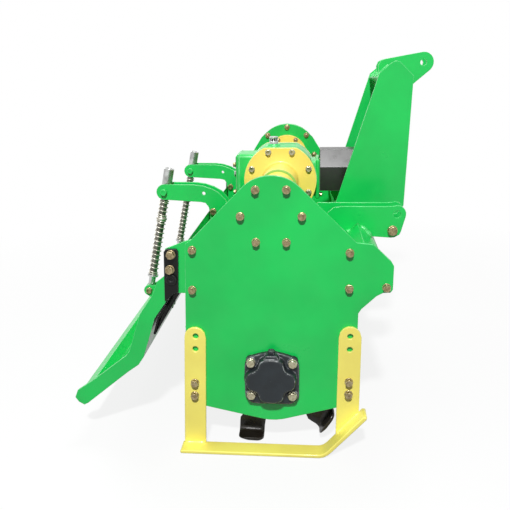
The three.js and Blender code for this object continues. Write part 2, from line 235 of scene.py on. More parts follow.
def hex_bolt(place, direction, across=0.019, height=0.0085, washer=0.0125, start=0.0, end=0.0):
    """A washer and a six-sided head. The head's radius is the smaller of the hexagon's, half the width over
    the cosine of the angle from the flat's middle, and a 30-degree cone's that cuts its corners. With end
    above 0 a threaded end stands out of it, as on a nut, its radius waving once a turn."""
    angle = 2 * math.pi * np.arange(36) / 36
    flat = across / 2 / np.cos((angle % (math.pi / 3)) - math.pi / 6)
    thick, worn = 0.0025, 0.0005
    top = thick + height
    rows = [(0.0, 0), (0.0, washer - worn), (0.0004, washer), (0.0021, washer), (thick, washer - worn)]
    rows.append((thick, flat * 0.96))
    for h in [0.0026] + [thick + height * share for share in (0.68, 0.78, 0.9, 1.0)]:
        rows.append((h, np.minimum(flat, across * 0.487 + (top - h) * 1.73)))
    rim = across * (0.27 if end > 0 else 0.32)
    rows += [(top, across * 0.44), (top - 0.0006, rim)]
    if end > 0:
        turns = np.linspace(0.0, 1.0, 9)[1:-1]
        rows += [(top + end * t, rim * (0.93 if i % 2 else 1.0)) for i, t in enumerate(turns)]
        rows += [(top + end, rim * 0.8), (top + end, 0)]
    else:
        rows.append((top - 0.0006, 0))
    return turned(rows, place, direction, start=start)


def bolts(places, direction, across=0.019, height=0.0085, washer=0.0125, step=0.5, end=0.0):
    """A bolt or nut at each place, each left a little further round than the one before."""
    return [hex_bolt(p, direction, across, height, washer, step * i, end) for i, p in enumerate(places)]


def plated(name, colour, tarnish, roughness=0.34, grime=0.4, patch=150.0):
    """Plated steel: metallic, its colour drifting to the tarnish in clouds a few millimetres wide, dull and
    dark where a fine noise is low, and pale along its edges: bared metal and a painted highlight."""
    made, tree, shader = new_finish(name)
    clouds = spread(tree, noise(tree, patch, 3.0, 0.5), 0.36, 0.66)
    base = blend_colour(tree, clouds, colour, tarnish)
    dirt = spread(tree, noise(tree, 260.0, 3.0), 0.58, 0.74, 0.0, grime)
    base = blend_colour(tree, dirt, base, tuple(c * 0.25 for c in tarnish))
    rounded, edge = edges(tree, 0.0011)
    # Painted highlight: the edges are blended to a pale, bright colour, partly bared metal.
    bared_and_highlit = tuple(min(1.0, c * 2.4 + 0.06) for c in colour)
    join(tree, shader, {
        "Base Color": blend_colour(tree, product(tree, edge, 0.9), base, bared_and_highlit),
        "Metallic": 0.85,
        "Roughness": spread(tree, noise(tree, 300.0), 0.3, 0.7, roughness - 0.08, roughness + 0.16),
        "Normal": rounded,
    })
    return made


passivated = plated("yellow_passivated_zinc", (0.37, 0.305, 0.17), (0.20, 0.145, 0.075), 0.27)


def spots(centre, radius, degrees, y):
    """Places on a circle in a plane square to Y, by their angles from the driving direction."""
    angle = np.radians(np.array(degrees, float))
    x, z = centre
    return [(x + radius * math.cos(a), y, z + radius * math.sin(a)) for a in angle]


ring_angles = range(0, 360, 60)
END_RING = 0.0763
edge_spots = [(-0.201, 0.566), (-0.205, 0.459), (0.196, 0.562), (0.197, 0.468), (0.290, 0.472)]
near_places = spots(SHAFT, END_RING, ring_angles, -OUTER) + [(AXIS_X + x, -OUTER, z) for x, z in edge_spots]
near_heads = bolts(near_places, (0, -1, 0), 0.0175, 0.0105, 0.0108, 0.7)
mesh_piece("near_plate_bolts", near_heads, passivated)
far_heads = bolts([(AXIS_X + x, OUTER, z) for x, z in edge_spots], (0, 1, 0), step=1.1)
mesh_piece("far_plate_bolts", far_heads, passivated)
# The far plate's wide top is held to the gear case by nuts on its inner face.
case_nuts = bolts(spots(SHAFT, 0.1197, range(0, 360, 45), INNER), (0, -1, 0), 0.017, washer=0.0115, end=0.004)
mesh_piece("gear_case_nuts", case_nuts, passivated)


# ---- Gear case ----
# A fabricated case on the far side carries the drive from the cross shaft down to the rotor. Its cover is
# a flat plate on low button screws, with a filler plug, a level plug and a drain plug.
finish_in(green, "gear_case", "gear_case_cover")
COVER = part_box("gear_case_cover")[1].y


def button_screw(place, direction, radius=0.008, height=0.0041):
    """A low domed head, an ellipse's quarter from rim to socket, with a six-sided socket sunk in it."""
    angle = 2 * math.pi * np.arange(30) / 30
    socket = radius * 0.42 / np.cos((angle % (math.pi / 3)) - math.pi / 6) * math.cos(math.pi / 6)
    rows = [(0.0, 0), (0.0, radius)]
    for sweep in np.linspace(0.0, math.pi / 2, 6):
        rows.append((0.0008 + (height - 0.0008) * math.sin(sweep), radius * (0.55 + 0.45 * math.cos(sweep))))
    rows += [(height, socket), (height - 0.0026, socket * 0.98), (height - 0.0028, 0)]
    return turned(rows, place, direction)


screw_at = spots(SHAFT, 0.117, range(0, 181, 30), COVER) + spots(ROTOR, 0.096, range(180, 361, 30), COVER)
side_screws = [(0.1115, 0.545), (0.1065, 0.435), (0.1015, 0.325)]
for side in (-1, 1):
    screw_at += [(AXIS_X + side * x, COVER, z) for x, z in side_screws]
mesh_piece("gear_case_screws", [button_screw(p, (0, 1, 0)) for p in screw_at], passivated)
plug_rows = [(0, 0), (0, 0.013), (0.0028, 0.013), (0.0036, 0.012), (0.0036, 0.0065),
             (0.0012, 0.006), (0.0012, 0)]
plug_at = [(AXIS_X + x, COVER, z) for x, z in ((0.0, 0.742), (0.052, 0.50), (0.0, 0.132))]
plugs = [turned(plug_rows, p, (0, 1, 0), 36) for p in plug_at]
mesh_piece("gear_case_plugs", plugs, passivated)


# ---- Rotor bearing ----
# A cast housing in black paint on the near plate: a square foot, and a round cap scalloped to clear the
# heads of its four bolts. A grease plug sits on a boss at the top. The casting's edges are rubbed bright.
def cast_paint(name, colour, rubbed, roughness=0.36, lumps=0.22, rim=0.0):
    """Paint over a sand casting: lumps of 3 mm and grains of 0.6 mm raise the surface, and outer edges and
    a few scuffs show the rubbed colour. So does the rim, where the surface turns away from the Y axis."""
    made, tree, shader = new_finish(name)
    clouds = spread(tree, noise(tree, 26.0, 4.0), 0.35, 0.7)
    base = blend_colour(tree, clouds, colour, tuple(c * 1.5 for c in colour))
    rounded, edge = edges(tree, 0.0022)
    broken = spread(tree, noise(tree, 70.0, 5.0, 0.7), 0.44, 0.60, 0.1, 0.85)
    base = blend_colour(tree, product(tree, edge, broken), base, rubbed)
    scuffs = spread(tree, noise(tree, 55.0, 6.0, 0.75, (1.0, 1.0, 2.2)), 0.66, 0.76, 0.0, 0.4)
    base = blend_colour(tree, scuffs, base, rubbed)
    if rim > 0:
        facing = node(tree, "NewGeometry").outputs["Normal"]
        turned_y = node(tree, "SeparateXYZ", {"Vector": facing}).outputs["Y"]
        turned_y = node(tree, "Math", {0: turned_y}, operation="ABSOLUTE").outputs["Value"]
        lip = product(tree, spread(tree, turned_y, 0.56, 0.66), spread(tree, turned_y, 0.90, 0.80))
        torn = spread(tree, noise(tree, 75.0, 6.0, 0.75), 0.49, 0.57, 0.0, rim)
        base = blend_colour(tree, product(tree, lip, torn), base, rubbed)
    grains = bump(tree, noise(tree, 700.0, 3.0, 0.7), lumps, 0.0006, rounded)
    join(tree, shader, {
        "Base Color": base,
        "Roughness": spread(tree, noise(tree, 40.0), 0.3, 0.7, roughness - 0.08, roughness + 0.14),
        "Specular IOR Level": 0.36,
        "Normal": bump(tree, noise(tree, 150.0), lumps, 0.0015, grains),
    })
    return made


black_cast = cast_paint("black_cast_paint", (0.011, 0.015, 0.018), (0.42, 0.44, 0.45), rim=0.8)
bolt_at = [(0.055 * sx, z) for sx in (-1, 1) for z in (-0.0470, 0.0475)]
CAP = 128
turn_angle = 2 * math.pi * np.arange(CAP) / CAP


def straight_sided(sides, power=30):
    """Radii of an outline by its sides, each the angle it faces and its distance: a side's radius is the
    distance over the cosine from its middle, and the power mean of all rounds the corners between them."""
    toward = turn_angle[:, None] - np.radians([facing for facing, _ in sides])
    radius = np.array([distance for _, distance in sides]) / np.maximum(np.cos(toward), 1e-3)
    return (np.where(np.cos(toward) > 0.3, radius, 1.0) ** -power).sum(1) ** (-1 / power)


foot = straight_sided([(0, 0.0725), (35, 0.0850), (72, 0.0765), (90, 0.0748), (108, 0.0765), (145, 0.0850),
                       (180, 0.0725), (225, 0.0915), (270, 0.0755), (315, 0.0915)])
gaps = [(turn_angle - math.atan2(z, x) + math.pi) % (2 * math.pi) - math.pi for x, z in bolt_at]
scallop = sum(np.exp(-((g / 0.30) ** 2) ** 1.3) for g in gaps)
lobes = np.array([(0, 0.0648), (90, 0.0665), (180, 0.0700), (270, 0.0635), (360, 0.0648)])
wall = np.interp(turn_angle, np.radians(lobes[:, 0]), lobes[:, 1]) - 0.0140 * scallop
foot_y = -OUTER - 0.0003
cap_rows = [
    (0.0, 0), (0.0, foot - 0.001), (0.001, foot), (0.0122, foot), (0.0134, foot - 0.0012),
    (0.0137, np.maximum(wall + 0.004, foot * 0.90)), (0.0137, wall + 0.0035), (0.0145, wall + 0.0012),
    (0.0170, wall), (0.0310, wall - 0.0012), (0.0345, wall - 0.0022), (0.0366, wall - 0.0050),
    (0.0374, wall - 0.0085), (0.0370, wall - 0.0125), (0.0368, wall * 0.62), (0.0371, wall * 0.4),
    (0.0372, wall * 0.2), (0.0372, 0),
]
housing = turned(cap_rows, (AXIS_X, foot_y, ROTOR_Z), (0, -1, 0))
boss_sides = [(0, 0.0210), (32, 0.0215), (90, 0.0182), (148, 0.0215), (180, 0.0210), (270, 0.0200)]
boss_wall = straight_sided(boss_sides)
boss_rows = [(0.0005, 0), (0.0005, boss_wall), (0.0290, boss_wall), (0.0315, boss_wall - 0.0009),
             (0.0325, boss_wall - 0.0030), (0.0327, 0)]
boss = turned(boss_rows, (AXIS_X, foot_y, 0.272), (0, -1, 0))
ear_rows = [(0.0008, 0), (0.0008, 0.0150), (0.0152, 0.0142), (0.0160, 0.0132), (0.0160, 0)]
ears = [turned(ear_rows, (AXIS_X + x, foot_y, ROTOR_Z + z), (0, -1, 0), 32) for x, z in bolt_at]
bearing_parts = [housing, boss] + ears
bearing = mesh_piece("rotor_bearing_housing", bearing_parts, black_cast, crease=50.0)
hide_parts("rotor_bearing")
bright = plated("bright_zinc", (0.46, 0.44, 0.31), (0.30, 0.27, 0.17), 0.3, 0.3)
cap_heads = [(AXIS_X + x, foot_y - 0.0155, ROTOR_Z + z) for x, z in bolt_at]
cap_bolts = bolts(cap_heads, (0, -1, 0), 0.0205, 0.0085, 0.0122, 0.9)
mesh_piece("rotor_bearing_bolts", cap_bolts, bright)
grease_rows = [(0, 0), (0, 0.0085), (0.0040, 0.0085), (0.0045, 0.0093), (0.0112, 0.0093), (0.0125, 0.0082),
               (0.0125, 0.0048), (0.0100, 0.0044), (0.0100, 0)]
grease_plug = turned(grease_rows, (AXIS_X, -0.639, 0.2885), (0, 0, 1), 36)
mesh_piece("rotor_bearing_plug", [grease_plug], black_cast)


# ---- Cross members, rail and hood ----
# A heavy square tube set on edge, a square bar and a channel rail join the side plates behind and in front
# of the bent hood. They are welded, and sprayed in the same coat as the plates.
finish_in(green, "front_tube", "front_bar", "rear_rail", "hood")


# ---- Trumpets of the cross shaft ----
# A cast trumpet runs from the gearbox to each side plate: a flange with flats above and below, a hub, and
# a tube that ends in a round flange. They are sprayed yellow, and a green ring seals each hub's end.
yellow = enamel("yellow_enamel", (0.920, 0.715, 0.135), (1.0, 0.92, 0.42), 0.36, 0.05, 0.0022, 0.3)
flange_angle = 2 * math.pi * np.arange(96) / 96
flats = np.minimum(0.120, 0.108 / np.maximum(np.abs(np.sin(flange_angle)), 1e-6))
trumpet_rows = [
    (0.0803, 0), (0.0803, flats - 0.0012), (0.0815, flats), (0.0907, flats), (0.0919, flats - 0.0012),
    (0.0920, 0.0665), (0.0926, 0.0640), (0.0940, 0.0617), (0.0965, 0.0597), (0.1000, 0.0584),
    (0.1040, 0.0580), (0.2345, 0.0580), (0.2365, 0.0574), (0.2385, 0.0552), (0.2400, 0.0520),
    (0.2425, 0.0504), (0.2460, 0.0500), (0.5920, 0.0500),
]
for sweep in np.linspace(0.0, math.pi / 2, 10)[1:]:
    trumpet_rows.append((0.5985 - 0.006 * math.cos(sweep), 0.050 + 0.006 * math.sin(sweep)))
trumpet_rows += [(0.5990, 0.0859), (0.6000, 0.0870), (0.6127, 0.0870), (0.6137, 0.0860), (0.6137, 0)]
seal_rows = [(0.2350, 0.050), (0.2350, 0.0582), (0.2362, 0.0594), (0.2388, 0.0594), (0.2402, 0.0580),
             (0.2402, 0.050), (0.2350, 0.050)]
seal_coat = enamel("green_over_yellow", (0.24, 0.50, 0.09), (0.72, 0.86, 0.30), 0.4)
for name, side in (("near", -1), ("far", 1)):
    along = (0, side, 0)
    centre = (AXIS_X, 0, SHAFT_Z)
    horn = turned(trumpet_rows, centre, along)
    trumpet = mesh_piece(f"cast_trumpet_{name}", [horn], yellow)
    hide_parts(f"trumpet_{name}")
    seal = turned(seal_rows, centre, along, 72)
    mesh_piece(f"trumpet_seal_{name}", [seal], seal_coat)
    flange_at = spots(SHAFT, 0.1013, np.arange(8) * 45 + 22.5, side * 0.0921)
    heads = bolts(flange_at, along, 0.016, 0.0075, 0.0105, 0.6)
    mesh_piece(f"trumpet_bolts_{name}", heads, bright)
    nut_at = spots(SHAFT, END_RING, ring_angles, side * 0.5989)
    nuts = bolts(nut_at, (0, -side, 0), 0.0160, 0.0090, 0.0096, 0.4, 0.004)
    mesh_piece(f"trumpet_nuts_{name}", nuts, passivated)


# ---- Gearbox and stand ----
# A cast iron right-angle box on a folded steel stand over the hood. Its front and rear covers are bolted,
# and a breather with a dark filter band screws into a boss on top.
green_cast = enamel("green_cast_enamel", (0.005, 0.530, 0.078), (0.36, 0.86, 0.50), 0.36, 0.16, 0.004,
                    coat=0.3, grain=240.0)
finish_in(green, "gearbox_stand")


def rounded_block(low, high, radius, steps=5):
    """A box with round edges and flat faces: a point of the sphere of that radius, by latitude and longitude,
    moved to the corner of the inner box on its own side, so a face spans the gap between two corners."""
    quarter = np.linspace(0, math.pi / 2, steps + 1)
    up = np.concatenate([quarter - math.pi / 2, quarter])[:, None]
    about = np.concatenate([quarter + k * math.pi / 2 for k in range(4)])[None]
    centre = (np.array(low) + np.array(high)) / 2
    inner = (np.array(high) - np.array(low)) / 2 - radius
    x = np.repeat([1, -1, -1, 1], steps + 1)[None] * inner[0] + radius * np.cos(up) * np.cos(about)
    y = np.repeat([1, 1, -1, -1], steps + 1)[None] * inner[1] + radius * np.cos(up) * np.sin(about)
    z = np.repeat([-1, 1], steps + 1)[:, None] * inner[2] + radius * np.sin(up) + 0 * x
    points = np.stack([x, y, z], -1)
    ends = [np.repeat([[[0, 0, k * (inner[2] + radius)]]], points.shape[1], 1) for k in (-1, 1)]
    return np.concatenate([ends[0], points, ends[1]]) + centre, skin(points.shape[0] + 2, points.shape[1])


case_rows = [(-0.0800, 0), (-0.0800, flats - 0.004), (-0.0788, flats - 0.0012), (-0.0760, flats),
             (0.0760, flats), (0.0788, flats - 0.0012), (0.0800, flats - 0.004), (0.0800, 0)]
vent_at = (AXIS_X - 0.024, -0.024, SHAFT_Z + 0.108)
boss_rows = [(-0.006, 0), (-0.006, 0.0230), (0.0052, 0.0230), (0.0068, 0.0216), (0.0070, 0.0150), (0.0070, 0)]
gearbox = mesh_piece(
    "cast_gearbox",
    [turned(case_rows, (AXIS_X, 0, SHAFT_Z), (0, 1, 0)),
     rounded_block((AXIS_X - 0.152, -0.064, 0.592), (AXIS_X - 0.060, 0.064, 0.738), 0.013),
     rounded_block((AXIS_X - 0.1405, -0.0647, 0.5913), (AXIS_X - 0.1375, 0.0647, 0.7387), 0.0014),
     rounded_block((AXIS_X + 0.050, -0.060, 0.596), (AXIS_X + 0.125, 0.060, 0.715), 0.009),
     rounded_block((AXIS_X + 0.1165, -0.066, 0.588), (AXIS_X + 0.131, 0.066, 0.721), 0.0065),
     turned(boss_rows, vent_at, (0, 0, 1))],
    green_cast, crease=50.0,
)
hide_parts("gearbox")
silver = plated("silver_zinc", (0.60, 0.61, 0.60), (0.36, 0.36, 0.35), 0.24, 0.25, 60.0)
ribs = np.where(np.cos(20 * math.pi * np.arange(120) / 120) > 0.25, 0.0143, 0.0122)
vent_rows = [(0.0065, 0), (0.0065, 0.0138), (0.0072, 0.0145), (0.0158, 0.0145), (0.0165, 0.0141),
             (0.0166, ribs), (0.0254, ribs), (0.0255, 0.0141), (0.0262, 0.0145), (0.0298, 0.0145),
             (0.0310, 0.0134), (0.0313, 0.0060), (0.0313, 0)]
mesh_piece("breather", [turned(vent_rows, vent_at, (0, 0, 1))], silver)
rubber, rubber_tree, rubber_shader = new_finish("black_rubber")
rubber_cloud = spread(rubber_tree, noise(rubber_tree, 22.0, 5.0), 0.35, 0.7)
join(rubber_tree, rubber_shader, {
    "Base Color": blend_colour(rubber_tree, rubber_cloud, (0.007, 0.007, 0.007), (0.016, 0.016, 0.015)),
    "Roughness": 0.85,
    "Specular IOR Level": 0.15,
    "Normal": bump(rubber_tree, noise(rubber_tree, 500.0), 0.2, 0.0006),
})
band_rows = [(0.0168, 0.0110), (0.0168, 0.0136), (0.0252, 0.0136), (0.0252, 0.0110), (0.0168, 0.0110)]
mesh_piece("breather_band", [turned(band_rows, vent_at, (0, 0, 1), 40)], rubber)
rear_x = AXIS_X - 0.152
front_x = AXIS_X + 0.131
rear_at = [(rear_x, y, z) for y in (-0.050, 0.050) for z in (0.610, 0.702)]
front_at = [(front_x, y, z) for y in (-0.052, 0.052) for z in (0.602, 0.706)]
stand_at = [(AXIS_X + x, y, 0.5455) for x in (-0.07, 0.07) for y in (-0.052, 0.052)]
cover_bolts = bolts(rear_at, (-1, 0, 0), 0.013, 0.006, 0.0085)
cover_bolts += bolts(front_at, (1, 0, 0), 0.013, 0.006, 0.0085)
cover_bolts += bolts(stand_at, (0, 0, -1), 0.016, 0.008, 0.011, 0.0)
mesh_piece("gearbox_cover_bolts", cover_bolts, passivated)
level_plug = hex_bolt((rear_x, 0.0, 0.664), (-1, 0, 0), 0.019, 0.008, 0.013)
mesh_piece("gearbox_level_plug", [level_plug], silver)


# ---- Guard and input shaft ----
# A black plastic channel shields the splined input shaft, which runs in the gearbox's front bearing. The
# shaft has six splines and a groove for the drive shaft's lock.
plastic, plastic_tree, plastic_shader = new_finish("moulded_plastic")
plastic_cloud = spread(plastic_tree, noise(plastic_tree, 12.0, 5.0), 0.35, 0.7)
plastic_tone = blend_colour(plastic_tree, plastic_cloud, (0.012, 0.011, 0.010), (0.020, 0.019, 0.018))
# Painted highlight: the rounded edges are blended to pale grey.
plastic_round, plastic_edge_highlight = edges(plastic_tree, 0.0025)
plastic_edge_highlight = product(plastic_tree, plastic_edge_highlight, 0.7)
join(plastic_tree, plastic_shader, {
    "Base Color": blend_colour(plastic_tree, plastic_edge_highlight, plastic_tone, (0.30, 0.31, 0.32)),
    "Specular IOR Level": 0.7,
    "Roughness": spread(plastic_tree, noise(plastic_tree, 30.0, 4.0), 0.3, 0.7, 0.27, 0.36),
    "Normal": bump(plastic_tree, noise(plastic_tree, 900.0), 0.12, 0.0005, plastic_round),
})
finish_in(plastic, "pto_guard")

tooth = np.clip((np.cos(12 * math.pi * np.arange(96) / 96) + 0.28) * 6, 0, 1)
splined = 0.0145 + 0.0030 * tooth
plain = 0.0175
shaft_rows = [(0.0, 0), (0.0, plain), (0.012, plain), (0.0125, splined), (0.052, splined),
              (0.0535, plain * 0.82), (0.0605, plain * 0.82), (0.062, splined), (0.0815, splined),
              (0.084, plain * 0.80), (0.084, 0)]
shaft_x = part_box("input_shaft")[0].x
splines = turned(shaft_rows, (shaft_x, 0, SHAFT_Z), (1, 0, 0))
shaft = mesh_piece("splined_shaft", [splines], silver, "input_shaft", 30.0)
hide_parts("input_shaft")
collar_rows = [(0.0, 0.019), (0.0, 0.034), (0.010, 0.034), (0.0125, 0.0315), (0.0125, 0.019), (0.0, 0.019)]
collar = turned(collar_rows, (front_x + 0.0002, 0, SHAFT_Z), (1, 0, 0), 56)
mesh_piece("shaft_bearing_collar", [collar], green_cast)


# ---- Hitch and mast ----
# Two pairs of notched cheeks take the lower links, and two tapered plates and a pair of lugs take the top
# link. They are flame-cut plates, welded to the square tube and to a cross tie.
for side in ("near", "far"):
    finish_in(green, f"hitch_cheek_{side}_inner", f"hitch_cheek_{side}_outer")
    finish_in(green, f"mast_plate_{side}", f"top_link_lug_{side}")
finish_in(green, "mast_tie")
hitch_x, hitch_z = AXIS_X + 0.330, 0.563
spacer_rows = [(0.0, 0.007), (0.0, 0.0115), (0.0454, 0.0115), (0.0454, 0.007), (0.0, 0.007)]
spacers, heads = [], []
for side in (-1, 1):
    spacers.append(turned(spacer_rows, (hitch_x, side * 0.3423, hitch_z), (0, side, 0), 32))
    heads.append(hex_bolt((hitch_x, side * 0.396, hitch_z), (0, side, 0), 0.024, 0.010, 0.0145, 0.3))
    heads.append(hex_bolt((hitch_x, side * 0.334, hitch_z), (0, -side, 0), 0.024, 0.011, 0.0145, 0.8, 0.005))
mesh_piece("hitch_spacers", spacers, green)
mesh_piece("hitch_bolts", heads, passivated)


def weld(path, radius=0.0034, pitch=0.0032):
    """A weld bead: a round section of 8 sides carried along a line of points, its radius rising 16 per cent
    once a pitch like laid-over drops, and closing to nothing at both ends."""
    path = np.array(path, float)
    lengths = np.concatenate([[0], np.cumsum(np.linalg.norm(np.diff(path, axis=0), axis=1))])
    steps = np.linspace(0, lengths[-1], max(8, int(lengths[-1] / 0.0013)))
    line = np.stack([np.interp(steps, lengths, path[:, i]) for i in range(3)], 1)
    along = np.gradient(line, axis=0)
    along /= np.linalg.norm(along, axis=1)[:, None]
    guide = np.array([0.31, 0.77, 0.56])
    across = np.cross(along, guide)
    across /= np.linalg.norm(across, axis=1)[:, None]
    aside = np.cross(along, across)
    drops = 1 + 0.16 * ((steps / pitch) % 1.0) + 0.09 * np.sin(steps * 190.0)
    taper = np.sqrt(np.clip(np.minimum(steps, lengths[-1] - steps) / (2 * radius), 0, 1))
    angle = 2 * math.pi * np.arange(8) / 8
    ring = np.cos(angle)[None, :, None] * across[:, None] + np.sin(angle)[None, :, None] * aside[:, None]
    points = line[:, None] + ring * (radius * drops * taper)[:, None, None]
    return points, skin(len(line), 8)


def in_side_view(outline, y):
    """Points of the side view, measured from the rotor's axis and the ground, at that y."""
    return [(AXIS_X + x, y, z) for x, z in outline]


beads = []
pads = [[(0.1990, 0.5525), (0.2140, 0.5675)], [(0.2400, 0.5775), (0.2740, 0.5435)]]
on_mast = [(0.190, 0.5415), (0.232, 0.5835), (0.2795, 0.536)]
tie_end = [(0.302, 0.978), (0.341, 1.015), (0.366, 0.989), (0.327, 0.952), (0.302, 0.978)]
on_tie = [(0.3025, 0.9785), (0.341, 1.0155), (0.3665, 0.989), (0.3275, 0.9515)]
for side in (-1, 1):
    for y in (0.3325, 0.3435, 0.3865, 0.3975):
        beads += [weld(in_side_view(pad, side * y), 0.0080, 0.0050) for pad in pads]
    for y in (0.1403, 0.1497):
        beads.append(weld(in_side_view(on_mast, side * y)))
    beads.append(weld(in_side_view(tie_end, side * 0.1403)))
    beads.append(weld(in_side_view(on_tie, side * 0.0357)))
    beads.append(weld(in_side_view(on_tie, side * 0.0253)))
mesh_piece("hitch_welds", beads, green, crease=60.0)


# ---- Skids ----
# A flat bar sole turned up in front, on a strut at each end. The struts' spare holes set the working depth.
# They are welded, sprayed in a paler yellow, and bolted to the side plates.
lemon = enamel("lemon_enamel", (0.990, 0.860, 0.165), (1.0, 0.95, 0.45), 0.36, 0.05, 0.0022, 0.3)


def softened(name, node_name, width, steps, material):
    """A copy of a CAD node with its loose triangles merged into faces and its outer edges rounded."""
    data = nodes[node_name].data.copy()
    data.name = name
    work = bmesh.new()
    work.from_mesh(data)
    bmesh.ops.remove_doubles(work, verts=work.verts, dist=1e-5)
    bmesh.ops.dissolve_limit(work, angle_limit=math.radians(1.0), verts=work.verts, edges=work.edges)
    work.to_mesh(data)
    work.free()
    data.materials.clear()
    data.materials.append(material)
    piece = bpy.data.objects.new(name, data)
    bpy.context.scene.collection.objects.link(piece)
    rounding = piece.modifiers.new("rounding", "BEVEL")
    rounding.width = width
    rounding.segments = steps
    rounding.limit_method = "ANGLE"
    rounding.angle_limit = math.radians(40)
    data.shade_smooth()
    data.set_sharp_from_angle(angle=math.radians(60))
    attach(piece, "frame")
    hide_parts(node_name)


SKID_FACE = 0.6302
skid_spots = [(-0.208, 0.196), (-0.210, 0.158), (0.203, 0.210), (0.203, 0.174)]
rear_toe = [(-0.244, 0.0105), (-0.186, 0.0105)]
front_toe = [(0.172, 0.0492), (0.231, 0.1180)]
for name, side in (("near", -1), ("far", 1)):
    for part, width, steps in (("rear_strut", 0.0012, 2), ("front_strut", 0.0012, 2), ("sole", 0.0040, 4)):
        softened(f"{part}_{name}", f"skid_{part}_{name}", width, steps, lemon)
    heads = bolts(in_side_view(skid_spots, side * SKID_FACE), (0, side, 0), 0.0180, 0.0100, 0.0112, 0.8)
    mesh_piece(f"skid_bolts_{name}", heads, passivated)
    toe_y = side * (SKID_FACE + 0.0004)
    beads = [weld(in_side_view(toe, toe_y), 0.004) for toe in (rear_toe, front_toe)]
    mesh_piece(f"skid_welds_{name}", beads, lemon, crease=60.0)


# ---- Tailboard brackets and spring arms ----
# Black brackets on the side plates' rear edges carry the tailboard's hinge pins. Two green arms stand
# against the rail and carry the pivots that the spring rods slide through.
black = enamel("black_enamel", (0.0045, 0.005, 0.0045), (0.10, 0.11, 0.11), 0.34, coat=0.0)
join(black.node_tree, black.node_tree.nodes["Principled BSDF"], {"Specular IOR Level": 0.22})
finish_in(black, "tail_bracket_near", "tail_bracket_far")
finish_in(green, "spring_arm_near", "spring_arm_far")
HINGE = (-0.2585, 0.486)
ARM_Y = 0.222
pin_rows = [(0, 0), (0, 0.0145), (0.0045, 0.0145), (0.006, 0.0130), (0.006, 0.0055), (0.003, 0.005),
            (0.003, 0)]
bracket_heads, pin_heads, arm_heads = [], [], []
for side in (-1, 1):
    for x, z in ((-0.2565, 0.553), (-0.261, 0.513)):
        place = (AXIS_X + x, side * OUTER, z)
        bracket_heads.append(hex_bolt(place, (0, side, 0), 0.0190, 0.0110, 0.0120, x * 90))
    pin_heads.append(turned(pin_rows, in_side_view([HINGE], side * OUTER)[0], (0, side, 0), 40))
    for out in (-1, 1):
        place = (AXIS_X - 0.2025, side * ARM_Y + out * 0.027, 0.5835)
        arm_heads.append(hex_bolt(place, (0, out, 0), 0.017, 0.0085, 0.0108, 0.4))
mesh_piece("bracket_bolts", bracket_heads, passivated)
mesh_piece("pivot_heads", pin_heads, black)
mesh_piece("arm_bolts", arm_heads, passivated)


# ---- Tailboard ----
# A levelling board behind the rotor: sheet bent in a shallow V, flat end plates, a square edge tube and two
# pairs of lugs, all sprayed green. A rubber strip bolted in front of it stops flying soil.
finish_in(green, "tailboard")
faced = [(-0.2665, 0.4370), (-0.2800, 0.4085), (-0.3100, 0.3650), (-0.3207, 0.3310), (-0.3240, 0.3200)]
faced = np.array(faced)
section = np.concatenate([faced, faced[::-1] + (0.0050, -0.0030)]) + (AXIS_X, 0.0)
middle = np.tile(section.mean(0), (len(section), 1))
strip = [(-0.594, middle), (-0.594, section), (0.594, section), (0.594, middle)]
strip_points = np.stack([np.column_stack([s[:, 0], np.full(len(s), y), s[:, 1]]) for y, s in strip])
strip_faces = skin(len(strip), len(section))
mesh_piece("soil_strip", [(strip_points, strip_faces)], rubber, "tailboard", 30.0)
ROD_EYE = (-0.425, 0.317)
lug_heads = []
for side in (-1, 1):
    for out, end in ((-1, 0.0), (1, 0.004)):
        place = in_side_view([ROD_EYE], side * ARM_Y + out * 0.0201)[0]
        lug_heads.append(hex_bolt(place, (0, out, 0), 0.017, 0.007, 0.0105, 0.5, end))
mesh_piece("lug_bolts", lug_heads, passivated, "tailboard")


# ---- Spring rods, springs and pivots ----
# Each rod has an eye at its foot and slides through a turned pivot in its arm; a sleeve nut stops it. Two
# zinc-plated coil springs on a loose collar press the tailboard down.
PIVOT = (-0.3555, 0.645)
lean = np.array([PIVOT[0] - ROD_EYE[0], 0.0, PIVOT[1] - ROD_EYE[1]])
span = np.linalg.norm(lean)
lean /= span


def coil(start, end, turns, origin, direction, radius=0.0133, wire=0.0020, steps=36):
    """A round wire on a helix: after t turns its angle is -2 pi t. Its height climbs one wire's width in the
    first turn and in the last, which lie closed against the next, and evenly between them."""
    t = np.linspace(0, turns, int(turns * steps))
    rise = np.clip((t - 1) / (turns - 2), 0, 1)
    flat = 2 * wire * (np.minimum(t, 1) + np.maximum(t - turns + 1, 0))
    height = start + wire + flat + rise * (end - start - 6 * wire)
    axis = np.array(direction, float)
    aside = np.array([0.0, 1.0, 0.0])
    across = np.cross(aside, axis)
    angle = -2 * math.pi * t
    out = np.cos(angle)[:, None] * across + np.sin(angle)[:, None] * aside
    line = np.array(origin) + height[:, None] * axis + radius * out
    along = np.gradient(line, axis=0)
    along /= np.linalg.norm(along, axis=1)[:, None]
    side_way = np.cross(along, out)
    ring = 2 * math.pi * np.arange(10) / 10
    swell = wire * np.sqrt(np.clip(np.minimum(t, turns - t) * 40, 0, 1))
    round_wire = np.cos(ring)[None, :, None] * out[:, None] + np.sin(ring)[None, :, None] * side_way[:, None]
    return line[:, None] + swell[:, None, None] * round_wire, skin(len(t), 10)


